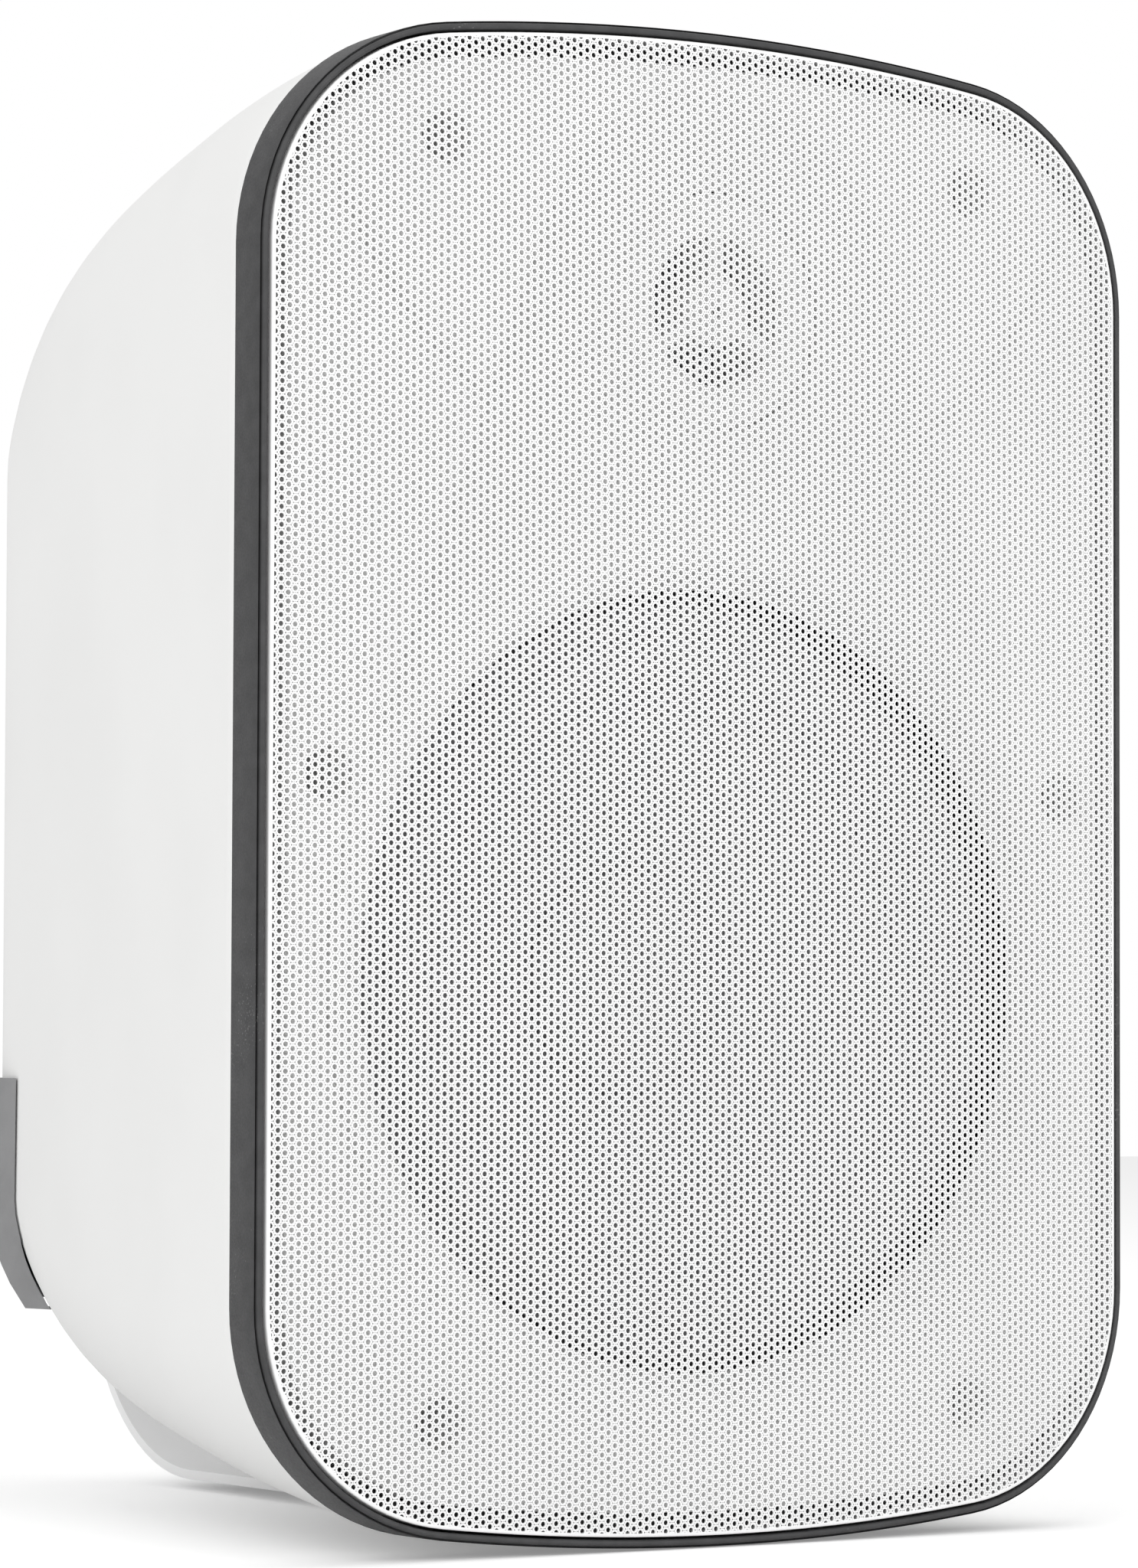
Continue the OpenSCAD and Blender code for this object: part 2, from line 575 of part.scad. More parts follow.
dome_h = 4.4;
module tweeter_dome() color("#d8d8da") place() turned(tweeter_z, concat(
    [for (i = [0:6]) let (a = 90 * i / 6) [dome_r * sin(a), dome_y + 0.3 - dome_h * cos(a)]],
    [[dome_r + 1, dome_y], [tweeter_wall_r, dome_y], [tweeter_wall_r, dome_y + dome_flange_t],
        [dome_r, dome_y + dome_flange_t]],
    [for (i = [5:-1:0]) let (a = 90 * i / 6) [(dome_r - 0.5) * sin(a), dome_y + dome_flange_t - dome_h * cos(a)]]));

dome_flange_t = 0.6;
tweeter_magnet_h = 14.4;
module tweeter_magnet() color("#3c3d40") place() difference() {
    bar(0, tweeter_z, dome_y + dome_flange_t, dome_y + dome_flange_t + tweeter_magnet_h, tweeter_wall_r);
    bar(0, tweeter_z, dome_y, dome_y + 4, dome_r);
}

module tweeter_screws() color(steel) place() tweeter_screw_places() {
    bar(0, 0, baffle_back_y - driver_screw_in, baffle_back_y + 2, driver_screw_r);
    bar(0, 0, baffle_back_y + 2, baffle_back_y + 3.6, 2 * driver_screw_r);
}

// Terminals in the back pocket
plate_in = 1;
term_t = 2.4;
term_y = pocket_y + term_t;
module terminal_screw_places() for (sx = [-1, 1]) translate([sx * (pocket_w / 2 - 5), 0, cover_z]) children();

module terminal_plate() color("#2a2a2b") place() difference() {
    pocket_block(-plate_in, pocket_y, term_y);
    terminal_screw_places() bar(0, 0, pocket_y - 1, term_y + 1, 1.8);
    translate([-20, pocket_y - 1, cover_z - 4]) cube([40, term_t + 2, 8]);
}

block_w = 48;
block_h = 18;
lever_w = 12;
lever_x = 12;
lever_l = 11.2;
lever_back = 0.6;
lever_t = 2.1;
hinge_r = 1.5;
// Room behind a lever that is pressed in all the way
block_t = lever_l * sin(lever_open) + lever_back * cos(lever_open) + 0.75;
hinge_y = term_y + block_t - 0.5;
hinge_z = cover_z - 4;
module terminal_block() color("#2a2a2b") place() difference() {
    translate([-block_w / 2, term_y, cover_z - block_h / 2]) cube([block_w, block_t, block_h]);
    for (sx = [-1, 1]) translate([sx * lever_x - lever_w / 2 - 0.4, term_y - 1, hinge_z - 3])
        cube([lever_w + 0.8, block_t + 2, block_h]);
    // Holes for the bare wire ends
    for (sx = [-1, 1]) translate([sx * lever_x, term_y + 3, cover_z - block_h / 2 - 1]) cylinder(r = 1.6, h = 7);
}

// One lever: a plate on a hinge pin, pushed in at its upper end
module lever(x) {
    translate([x - lever_w / 2, hinge_y, hinge_z]) rotate([0, 90, 0]) cylinder(r = hinge_r, h = lever_w);
    translate([x - lever_w / 2, hinge_y - lever_back, hinge_z]) cube([lever_w, lever_t, lever_l]);
}
module lever_red() color("#b02020") place() lever(-lever_x);
module lever_black() color("#202020") place() lever(lever_x);

module terminal_screws() color(steel) place() terminal_screw_places() {
    bar(0, 0, pocket_y - 1.8, term_y, 1.1);
    bar(0, 0, term_y, term_y + 1.6, 2.8);
}

// Cover over the terminals: a piece of the cabinet's own shape, moved out from it and hollow
cover_wall = 2.4;
cover_gap = 0.1;
cover_low = cover_z - cover_h / 2;
cover_high = cover_z + cover_h / 2;
cover_screw_x = pocket_w / 2 + 9;
cover_screw_y = surface_y(cover_screw_x, cover_z);
module cover_screw_places() for (sx = [-1, 1]) translate([sx * cover_screw_x, 0, cover_z]) children();

module terminal_cover() color("#6a6a6a") place() difference() {
    back_piece(cover_proud, cover_w, cover_low, cover_high);
    difference() {
        back_piece(cover_proud - cover_wall, cover_w - 2 * cover_wall, cover_low + cover_wall, cover_high - cover_wall);
        cover_screw_places() bar(0, 0, body_y(0.6), back_y + cover_proud, 4);
    }
    body_loft(-cover_gap, body_y(0.5), 0.5);
    cover_screw_places() bar(0, 0, pocket_y, back_y + 9, 1.7);
    cover_screw_places() bar(0, 0, cover_screw_y + cover_proud - 2.6, back_y + 9, 3.4);
    // Way out for the wires
    translate([-8, pocket_y, cover_low - 1]) cube([16, back_y, cover_wall + 2]);
}

module cover_screws() color(steel) place() cover_screw_places() {
    bar(0, 0, cover_screw_y - 9, cover_screw_y + cover_proud - 2.6, 1.1);
    bar(0, 0, cover_screw_y + cover_proud - 2.6, cover_screw_y + cover_proud - 0.8, 3);
}

// Crossover board on posts inside, behind the woofer
board_w = 76;
board_h = 46;
board_t = 1.6;
post_h = 6;
post_r = 3;
board_screw_r = 1.4;
board_y = pocket_y - pocket_wall - post_h;
module board_screw_places() for (sx = [-1, 1]) for (sz = [-1, 1])
    translate([sx * (board_w / 2 - 4), 0, cover_z + sz * 14]) children();

module crossover_board() color("#2f6b3a") place() difference() {
    translate([-board_w / 2, board_y - board_t, cover_z - board_h / 2]) cube([board_w, board_t, board_h]);
    board_screw_places() bar(0, 0, board_y - 3, board_y + 1, board_screw_r + 0.3);
}

module inductor() color("#c77b30") place() translate([0, board_y - board_t, cover_z - 6]) rotate([90, 0, 0])
    difference() {
        cylinder(r = 13, h = 14);
        translate([0, 0, -1]) cylinder(r = 6, h = 16);
    }

module capacitors() color("#d9d9d0") place() for (x = [-1, 1])
    translate([x * 24, board_y - board_t - 5, cover_z - 12]) cylinder(r = 5, h = 22);

module resistor() color("#e6e2d6") place()
    translate([-11, board_y - board_t - 8, cover_z + 11]) cube([22, 8, 8]);

module board_screws() color(steel) place() board_screw_places() {
    bar(0, 0, board_y - board_t, board_y + post_h - 1, board_screw_r);
    bar(0, 0, board_y - board_t - 1.8, board_y - board_t, 2 * board_screw_r);
}

// Profile of the bracket seen from the side
module bracket_side() {
    difference() {
        round_back(bracket_reach, arm_z, bend_r);
        round_back(bracket_reach - bracket_t, arm_z - arm_t, bend_r - arm_t);
    }
}
// Half a rounded rectangle: open at the front, round at the two back corners
module round_back(y1, z1, r) {
    translate([pivot_y - 1, -z1]) square([y1 - r - pivot_y + 1, 2 * z1]);
    translate([y1 - r - 1, -z1 + r]) square([r + 1, 2 * (z1 - r)]);
    for (s = [-1, 1]) translate([y1 - r, s * (z1 - r)]) circle(r, $fn = 96);
}

module wall_bracket() color(white) place() difference() {
    union() {
        difference() {
            across(bracket_w) bracket_side();
            translate([-bracket_w, pivot_y - 20, -arm_z - 1]) cube([2 * bracket_w, 20, 2 * arm_z + 2]);
        }
        pivot_places() translate([0, 0, arm_z - eye_t]) cylinder(r = bracket_w / 2, h = eye_t);
    }
    pivot_places() translate([0, 0, arm_z - eye_t - 1]) cylinder(r = bolt_r + fit, h = eye_t + 2);
    pivot_places() translate([0, 0, arm_z - 3.2]) cylinder(r1 = bolt_r + fit, r2 = bolt_r + fit + 3.4, h = 3.4);
    for (s = [-1, 1]) {
        bar(0, s * wall_pitch / 2, bracket_reach - bracket_t - 1, bracket_reach + 1, wall_hole_d / 2);
    }
    bar(0, 0, bracket_reach - bracket_t - 1, bracket_reach + 1, 8);
}

module pivot_inserts() color("#c9a24a") place() pivot_places() difference() {
    translate([0, 0, boss_z - insert_h]) cylinder(r = insert_r, h = insert_h);
    translate([0, 0, boss_z - insert_h - 1]) cylinder(r = bolt_r, h = insert_h + 2);
}

module pivot_washers() color("#303030") place() pivot_places() difference() {
    translate([0, 0, boss_z]) cylinder(r = washer_r, h = washer_t);
    translate([0, 0, boss_z - 1]) cylinder(r = bolt_r + fit, h = washer_t + 2);
}

module pivot_bolts() color(steel) place() pivot_places() difference() {
    union() {
        translate([0, 0, boss_z - insert_h + 1]) cylinder(r = bolt_r - 0.05, h = arm_z - boss_z + insert_h - 1.3);
        translate([0, 0, arm_z - 3.3]) cylinder(r1 = bolt_r - 0.05, r2 = bolt_r + 2.9, h = 3);
    }
    translate([0, 0, arm_z - 2.4]) cylinder(r = 2.3, h = 3, $fn = 6);
}

cabinet_shell();
front_rim();
grille();
baffle();
baffle_gasket();
baffle_screws();
woofer_gasket();
woofer_basket();
woofer_surround();
woofer_cone();
woofer_dust_cap();
woofer_spider();
voice_coil();
woofer_top_plate();
woofer_magnet();
woofer_yoke();
woofer_screws();
tweeter_face();
tweeter_dome();
tweeter_magnet();
tweeter_screws();
terminal_plate();
terminal_block();
lever_red();
lever_black();
terminal_screws();
terminal_cover();
cover_screws();
crossover_board();
inductor();
capacitors();
resistor();
board_screws();
wall_bracket();
pivot_inserts();
pivot_washers();
pivot_bolts();
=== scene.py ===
# Finish and detail of a two-way wall speaker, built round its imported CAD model.
# Sizes are in metres and come from the frame or from the speaker's own measures below.
import json
import math

import bmesh
import bpy
from mathutils import Matrix, Vector


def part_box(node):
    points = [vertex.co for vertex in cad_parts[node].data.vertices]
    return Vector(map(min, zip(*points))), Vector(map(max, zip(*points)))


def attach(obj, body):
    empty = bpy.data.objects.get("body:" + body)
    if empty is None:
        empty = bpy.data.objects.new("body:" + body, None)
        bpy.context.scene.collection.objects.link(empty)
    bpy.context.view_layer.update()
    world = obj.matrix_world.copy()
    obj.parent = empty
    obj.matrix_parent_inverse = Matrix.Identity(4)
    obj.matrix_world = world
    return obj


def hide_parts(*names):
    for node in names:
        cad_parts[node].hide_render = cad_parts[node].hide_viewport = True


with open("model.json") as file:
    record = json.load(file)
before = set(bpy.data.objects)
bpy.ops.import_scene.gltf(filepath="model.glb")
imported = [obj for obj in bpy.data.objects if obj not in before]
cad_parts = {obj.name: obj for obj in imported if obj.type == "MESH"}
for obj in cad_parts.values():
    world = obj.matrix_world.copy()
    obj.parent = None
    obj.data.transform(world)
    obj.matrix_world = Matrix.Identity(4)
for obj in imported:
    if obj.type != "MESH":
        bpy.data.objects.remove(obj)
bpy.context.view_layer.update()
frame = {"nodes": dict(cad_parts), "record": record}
MM = 0.001

# Places taken from the frame
RIM_LO, RIM_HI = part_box("front_rim")
GRILLE_LO, GRILLE_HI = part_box("grille")
SHELL_LO, SHELL_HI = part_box("cabinet_shell")
BRACKET_LO, BRACKET_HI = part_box("wall_bracket")
COVER_LO, COVER_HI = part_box("terminal_cover")
WASHER_LO, WASHER_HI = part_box("pivot_washers")
PLATE_LO, PLATE_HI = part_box("terminal_plate")
COVER_SCREW_LO, COVER_SCREW_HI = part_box("cover_screws")
CROWN_Y = GRILLE_LO[1]
MID_Z = (RIM_LO[2] + RIM_HI[2]) / 2
RIM_W = RIM_HI[0] - RIM_LO[0]
RIM_H = RIM_HI[2] - RIM_LO[2]
SHELL_Y = SHELL_LO[1]
SHELL_DEPTH = 160.2 * MM
RIM_BACK = (SHELL_Y - CROWN_Y) / MM
PAD_X = 59 * MM
WOOFER_LO, WOOFER_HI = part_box("woofer_basket")
WOOFER_Z = (WOOFER_LO[2] + WOOFER_HI[2]) / 2
CORNER_R = 43 * MM
ARCH_R = 528 * MM


def deselect():
    for ob in bpy.context.selected_objects:
        ob.select_set(False)


def activate(*obs):
    deselect()
    for ob in obs:
        ob.select_set(True)
    bpy.context.view_layer.objects.active = obs[-1]


def linear(hex_colour, alpha=1.0):
    """sRGB hex to linear colour."""
    parts = [int(hex_colour[i:i + 2], 16) / 255 for i in (1, 3, 5)]
    return [c / 12.92 if c <= 0.04045 else ((c + 0.055) / 1.055) ** 2.4 for c in parts] + [alpha]


def add_node(tree, kind, settings=None, **links):
    """A node with its settings; links name an input and the socket that feeds it."""
    node = tree.nodes.new(kind)
    for name, value in (settings or {}).items():
        if hasattr(node, name) and name not in node.inputs:
            setattr(node, name, value)
        else:
            node.inputs[name].default_value = value
    for name, socket in links.items():
        tree.links.new(socket, node.inputs[name.replace("_", " ")])
    return node


def new_material(name, roughness, metallic=0.0, ior=1.5):
    """A material with one Principled shader; returns it with its tree, shader and object coordinates."""
    mat = bpy.data.materials.new(name)
    mat.use_nodes = True
    tree = mat.node_tree
    tree.nodes.clear()
    out = tree.nodes.new("ShaderNodeOutputMaterial")
    shader = tree.nodes.new("ShaderNodeBsdfPrincipled")
    shader.inputs["Roughness"].default_value = roughness
    shader.inputs["Metallic"].default_value = metallic
    shader.inputs["IOR"].default_value = ior
    tree.links.new(shader.outputs[0], out.inputs[0])
    where = tree.nodes.new("ShaderNodeTexCoord").outputs["Object"]
    return mat, tree, shader, where


def grain(tree, shader, where, size_mm, depth_mm, rough=None, strength=0.4):
    """Moulded or coated grain: a noise of a real grain size for bump and, if asked, roughness."""
    noise = add_node(tree, "ShaderNodeTexNoise", {"Scale": 1 / (size_mm * MM), "Detail": 3.0,
                                                  "Roughness": 0.6}, Vector=where)
    bump = add_node(tree, "ShaderNodeBump", {"Strength": strength, "Distance": depth_mm * MM},
                    Height=noise.outputs["Fac"])
    tree.links.new(bump.outputs[0], shader.inputs["Normal"])
    if rough:
        spread = add_node(tree, "ShaderNodeMapRange", {"From Min": 0.3, "From Max": 0.7,
                                                       "To Min": rough[0], "To Max": rough[1]},
                          Value=noise.outputs["Fac"])
        tree.links.new(spread.outputs[0], shader.inputs["Roughness"])
    return noise


def mottle(tree, shader, where, light, shade, size_mm, low=0.35, high=0.65, detail=2.0):
    """Colour that wanders between two close tones over a real distance."""
    noise = add_node(tree, "ShaderNodeTexNoise", {"Scale": 1 / (size_mm * MM), "Detail": detail}, Vector=where)
    ramp = add_node(tree, "ShaderNodeValToRGB", Fac=noise.outputs["Fac"])
    ramp.color_ramp.elements[0].position = low
    ramp.color_ramp.elements[0].color = linear(shade)
    ramp.color_ramp.elements[1].position = high
    ramp.color_ramp.elements[1].color = linear(light)
    tree.links.new(ramp.outputs[0], shader.inputs["Base Color"])
    return ramp


def white_abs():
    """Injection-moulded white ABS with a fine spark-eroded texture: soft, even sheen, faint tone shifts."""
    mat, tree, shader, where = new_material("white_moulded_abs", 0.5, ior=1.52)
    mottle(tree, shader, where, "#F3F3F2", "#F0F0EF", 60)
    grain(tree, shader, where, 0.35, 0.03, rough=(0.44, 0.56), strength=0.25)
    return mat


def dark_abs():
    """Dark grey moulded ABS, coarser texture: matt, with pale scuff specks in scattered patches."""
    mat, tree, shader, where = new_material("dark_moulded_abs", 0.55, ior=1.52)
    tone = mottle(tree, shader, where, "#3E3E3F", "#353536", 3.5)
    specks = add_node(tree, "ShaderNodeTexNoise", {"Scale": 1 / (0.5 * MM), "Detail": 2.0}, Vector=where)
    patches = add_node(tree, "ShaderNodeTexNoise", {"Scale": 1 / (22 * MM), "Detail": 1.0}, Vector=where)
    both = add_node(tree, "ShaderNodeMath", {"operation": "MULTIPLY"})
    tree.links.new(specks.outputs["Fac"], both.inputs[0])
    tree.links.new(patches.outputs["Fac"], both.inputs[1])
    mask = add_node(tree, "ShaderNodeMapRange", {"From Min": 0.43, "From Max": 0.5, "To Min": 0.0,
                                                 "To Max": 0.35}, Value=both.outputs[0])
    mix = add_node(tree, "ShaderNodeMix", {"data_type": "RGBA"})
    tree.links.new(mask.outputs[0], mix.inputs[0])
    tree.links.new(tone.outputs[0], mix.inputs[6])
    mix.inputs[7].default_value = linear("#9A9A9A")
    tree.links.new(mix.outputs[2], shader.inputs["Base Color"])
    grain(tree, shader, where, 0.45, 0.05, rough=(0.46, 0.62), strength=0.5)
    return mat


def plain_plastic(name, light, shade, roughness, size_mm=8):
    """Moulded plastic in one tone, with a fine grain."""
    mat, tree, shader, where = new_material(name, roughness, ior=1.5)
    mottle(tree, shader, where, light, shade, size_mm)
    grain(tree, shader, where, 0.4, 0.03, rough=(roughness - 0.06, roughness + 0.06), strength=0.3)
    return mat


def powder_coat():
    """White powder coat on perforated steel: satin, with the faint orange peel of a sprayed film."""
    mat, tree, shader, where = new_material("white_powder_coat", 0.42, ior=1.5)
    mottle(tree, shader, where, "#FBFBFB", "#F8F8F8", 40)
    grain(tree, shader, where, 0.8, 0.02, rough=(0.36, 0.48), strength=0.2)
    return mat


def plated_steel(name="zinc_plated_steel", light="#C9CACC", shade="#B2B4B7"):
    """Zinc-plated steel: grey metal with the cloudy patches of its plating."""
    mat, tree, shader, where = new_material(name, 0.34, metallic=1.0)
    mottle(tree, shader, where, light, shade, 2.5)
    grain(tree, shader, where, 0.3, 0.01, rough=(0.26, 0.42), strength=0.2)
    return mat


def cone_pulp():
    """Pressed pulp cone: dark grey with short paper fibres and faint radial ribs."""
    mat, tree, shader, where = new_material("pressed_pulp", 0.75, ior=1.45)
    mottle(tree, shader, where, "#A2A2A3", "#949495", 1.2, detail=4.0)
    grain(tree, shader, where, 0.25, 0.06, rough=(0.68, 0.85), strength=0.5)
    return mat


MATERIALS = {
    "white_abs": white_abs(),
    "dark_abs": dark_abs(),
    "white_steel": powder_coat(),
    "foam": plain_plastic("closed_cell_foam", "#2C2C2D", "#242425", 0.85, 1.5),
    "zinc_steel": plated_steel(),
    "black_steel": plain_plastic("black_enamel", "#343436", "#2C2C2E", 0.45),
    "surround_rubber": plain_plastic("butyl_rubber", "#909092", "#88888A", 0.6),
    "cone_paper": cone_pulp(),
    "spider_cloth": plain_plastic("phenolic_cloth", "#B68C48", "#A57C3A", 0.8, 0.6),
    "copper": plated_steel("enamelled_copper", "#C98348", "#B06C35"),
    "ferrite": plain_plastic("sintered_ferrite", "#3C3D40", "#333437", 0.55, 2),
    "dome_alloy": plated_steel("drawn_aluminium", "#D6D7D9", "#C6C7C9"),
    "black_abs": plain_plastic("black_moulded_abs", "#2A2A2B", "#242425", 0.5),
    "red_abs": plain_plastic("red_moulded_abs", "#B3261F", "#A6211B", 0.45),
    "grey_abs": plain_plastic("grey_moulded_abs", "#8C8C8D", "#858586", 0.55),
    "board": plain_plastic("solder_masked_board", "#2E6A3B", "#275E33", 0.35),
    "film": plain_plastic("capacitor_sleeve", "#DAD8CC", "#D0CEC0", 0.4),
    "white_nylon": plain_plastic("white_filled_nylon", "#F0F0EE", "#ECECEA", 0.5, 40),
    "brass": plated_steel("turned_brass", "#D2A84F", "#C29740"),
    "rubber": plain_plastic("moulded_rubber", "#2B2B2C", "#232324", 0.75, 3),
}
NODES = frame["nodes"]
SLOT_OF = {row["node"]: row.get("material_slot", row["node"]) for row in frame["record"]["subparts"]}
BODY_OF = {node: name for name, nodes in frame["record"]["behaviour"]["bodies"].items() for node in nodes}
for node, ob in NODES.items():
    ob.data.materials.clear()
    ob.data.materials.append(MATERIALS[SLOT_OF[node]])


# Shared shape tools
def outline(inset, corner_steps=14, arch_steps=10, corner_r=CORNER_R):
    """The rim's outline moved in by an inset: arched top and bottom, round corners, straight sides.
    Points run anticlockwise seen from the front, from the right side's upper end."""
    half_w, half_h = RIM_W / 2, RIM_H / 2
    cx = half_w - corner_r
    arch_z = half_h - ARCH_R
    cz = arch_z + math.sqrt((ARCH_R - corner_r) ** 2 - cx ** 2)
    meet = math.atan2(cz - arch_z, cx)
    quarter = [(cx + (corner_r - inset) * math.cos(meet * i / corner_steps),
                cz + (corner_r - inset) * math.sin(meet * i / corner_steps)) for i in range(corner_steps + 1)]
    for i in range(1, arch_steps + 1):
        a = meet + (math.pi / 2 - meet) * i / arch_steps
        quarter.append(((ARCH_R - inset) * math.cos(a), arch_z + (ARCH_R - inset) * math.sin(a)))
    top = quarter + [(-x, z) for x, z in reversed(quarter[:-1])]
    return top + [(x, -z) for x, z in reversed(top)]


def ring_of(points, y):
    """A closed outline of (x, z) points about the middle of the rim, at depth y."""
    return [Vector((x, y, MID_Z + z)) for x, z in points]


def finish(ob, name, slot, body, angle=32):
    """Names a piece, gives it its finish, smooth shading and the body it rides on."""
    ob.name = name
    ob.data.name = name
    ob.data.materials.clear()
    ob.data.materials.append(MATERIALS[slot])
    activate(ob)
    bpy.ops.object.shade_smooth_by_angle(angle=math.radians(angle))
    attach(ob, body)
    return ob


def apply_modifiers(ob):
    activate(ob)
    for mod in list(ob.modifiers):
        bpy.ops.object.modifier_apply(modifier=mod.name)


def settle(ob):
    """Puts a piece's place into its mesh, with its object at the origin."""
    activate(ob)
    bpy.ops.object.transform_apply(location=True, rotation=True, scale=True)


def block(low, high):
    """A box between two corners, as a tool for cutting or joining."""
    deselect()
    bpy.ops.mesh.primitive_cube_add(size=1, location=[(a + b) / 2 for a, b in zip(low, high)])
    ob = bpy.context.object
    ob.scale = [b - a for a, b in zip(low, high)]
    settle(ob)
    return ob


def rod(x, z, y0, y1, radius):
    """A round bar along the depth, as a tool for cutting or joining."""
    deselect()
    bpy.ops.mesh.primitive_cylinder_add(vertices=48, radius=radius, depth=y1 - y0,
                                        location=(x, (y0 + y1) / 2, z), rotation=(math.pi / 2, 0, 0))
    settle(bpy.context.object)
    return bpy.context.object


def combine(ob, tool, operation="DIFFERENCE"):
    """Cuts a tool's solid out of a piece, or joins it on, and clears the tool away."""
    mod = ob.modifiers.new("cut", "BOOLEAN")
    mod.operation = operation
    mod.solver = "EXACT"
    mod.object = tool
    apply_modifiers(ob)
    bpy.data.objects.remove(tool)


def soften(ob, radius, angle=35, segments=3):
    """Rounds the edges of a piece that turn by more than an angle."""
    mod = ob.modifiers.new("round", "BEVEL")
    mod.width = radius
    mod.segments = segments
    mod.limit_method = "ANGLE"
    mod.angle_limit = math.radians(angle)
    mod.harden_normals = False
    apply_modifiers(ob)


def lofted(rings, close_first=False, close_last=False):
    """A skin through rings of equally many points: a circle is set on the first ring,
    then extruded once for each further ring and its new points set on that ring."""
    count = len(rings[0])
    deselect()
    bpy.ops.mesh.primitive_circle_add(vertices=count, radius=0.1,
                                      fill_type="NGON" if close_first else "NOTHING")
    ob = bpy.context.object
    bpy.ops.object.mode_set(mode="EDIT")
    mesh = bmesh.from_edit_mesh(ob.data)
    mesh.verts.ensure_lookup_table()
    for vert, place in zip(mesh.verts, rings[0]):
        vert.co = place
    edge = list(mesh.verts)
    for ring in rings[1:]:
        mesh = bmesh.from_edit_mesh(ob.data)
        mesh.verts.ensure_lookup_table()
        start = len(mesh.verts) - count
        for vert in mesh.verts:
            vert.select_set(vert.index >= start)
        for face in mesh.faces:
            face.select_set(False)
        for line in mesh.edges:
            line.select_set(all(v.index >= start for v in line.verts))
        bpy.ops.mesh.extrude_edges_move()
        mesh = bmesh.from_edit_mesh(ob.data)
        mesh.verts.ensure_lookup_table()
        old = {v.co.copy().freeze(): v.index for v in mesh.verts[start:start + count]}
        for vert in mesh.verts[start + count:]:
            vert.co = ring[old[vert.co.copy().freeze()] - start]
    if close_last:
        bpy.ops.mesh.edge_face_add()
    bpy.ops.mesh.select_all(action="SELECT")
    bpy.ops.mesh.normals_make_consistent(inside=False)
    bpy.ops.object.mode_set(mode="OBJECT")
    return ob


# Camera at the photograph's place: the lens and place come from the grille's hole lattice
def add_camera():
    data = bpy.data.cameras.new("photo_camera")
    data.lens = 130.04
    data.sensor_width = 36
    data.clip_start = 0.05
    ob = bpy.data.objects.new("photo_camera", data)
    bpy.context.collection.objects.link(ob)
    right = Vector((0.83908, -0.54400, 0.00354))
    up = Vector((-0.02856, -0.03755, 0.99889))
    back = right.cross(up)
    ob.matrix_world = Matrix((
        (right.x, up.x, back.x, -0.60365),
        (right.y, up.y, back.y, CROWN_Y - 0.8817),
        (right.z, up.z, back.z, 0.0925),
        (0, 0, 0, 1)))
    bpy.context.scene.camera = ob


# Pale floor that shows white to the camera where nothing shades it, and soft studio lamps
def add_studio():
    deselect()
    bpy.ops.mesh.primitive_plane_add(size=6, location=(0, 0, -0.0002))
    floor = bpy.context.object
    floor.name = "studio_floor"
    mat, tree, shader, _ = new_material("pale_studio_floor", 0.9)
    shader.inputs["Base Color"].default_value = linear("#F4F4F4")
    shader.inputs["Specular IOR Level"].default_value = 0.0
    glow = add_node(tree, "ShaderNodeEmission", {"Color": (1, 1, 1, 1), "Strength": 0.24})
    ray = tree.nodes.new("ShaderNodeLightPath")
    none = add_node(tree, "ShaderNodeBsdfTransparent", {"Color": (0, 0, 0, 1)})
    seen = tree.nodes.new("ShaderNodeMixShader")
    tree.links.new(ray.outputs["Is Camera Ray"], seen.inputs[0])
    tree.links.new(none.outputs[0], seen.inputs[1])
    tree.links.new(glow.outputs[0], seen.inputs[2])
    total = tree.nodes.new("ShaderNodeAddShader")
    tree.links.new(shader.outputs[0], total.inputs[0])
    tree.links.new(seen.outputs[0], total.inputs[1])
    out = next(n for n in tree.nodes if n.type == "OUTPUT_MATERIAL")
    tree.links.new(total.outputs[0], out.inputs[0])
    floor.data.materials.append(mat)
    world = bpy.data.worlds.new("studio_world")
    bpy.context.scene.world = world
    world.use_nodes = True
    tree = world.node_tree
    tree.nodes.clear()
    path = tree.nodes.new("ShaderNodeLightPath")
    fill = add_node(tree, "ShaderNodeBackground", {"Color": (1, 1, 1, 1), "Strength": 0.66})
    white = add_node(tree, "ShaderNodeBackground", {"Color": (1, 1, 1, 1), "Strength": 1.0})
    mix = tree.nodes.new("ShaderNodeMixShader")
    tree.links.new(path.outputs["Is Camera Ray"], mix.inputs[0])
    tree.links.new(fill.outputs[0], mix.inputs[1])
    tree.links.new(white.outputs[0], mix.inputs[2])
    tree.links.new(mix.outputs[0], tree.nodes.new("ShaderNodeOutputWorld").inputs[0])
    for name, place, size, power in (("lamp_left", (-1.6, -0.9, 1.1), 1.6, 12.5),
                                     ("lamp_front", (0.3, -2.2, 1.0), 1.6, 14),
                                     ("lamp_top", (0.2, 0.4, 2.2), 2.2, 9)):
        data = bpy.data.lights.new(name, "AREA")
        data.size = size
        data.energy = power
        ob = bpy.data.objects.new(name, data)
        bpy.context.collection.objects.link(ob)
        ob.location = place
        aim = Vector((0, 0, MID_Z)) - Vector(place)
        ob.rotation_euler = aim.to_track_quat("-Z", "Y").to_euler()


# Cabinet: the rim's outline drawn in towards the back, as a smooth loft
TAPER = math.radians(12)
HEIGHT_LOSS = 0.143
BODY_CORNER_R = 34 * MM
CORNER_BLEND = 45 * MM
SHELL_STEP = 0.5 * MM
BACK_R = 8 * MM
SHELL_WALL = 2.7 * MM
PIVOT_Y = (WASHER_LO[1] + WASHER_HI[1]) / 2
PAD_TOP = WASHER_HI[2] - 1.5 * MM
SPOT_R = 19.5 * MM


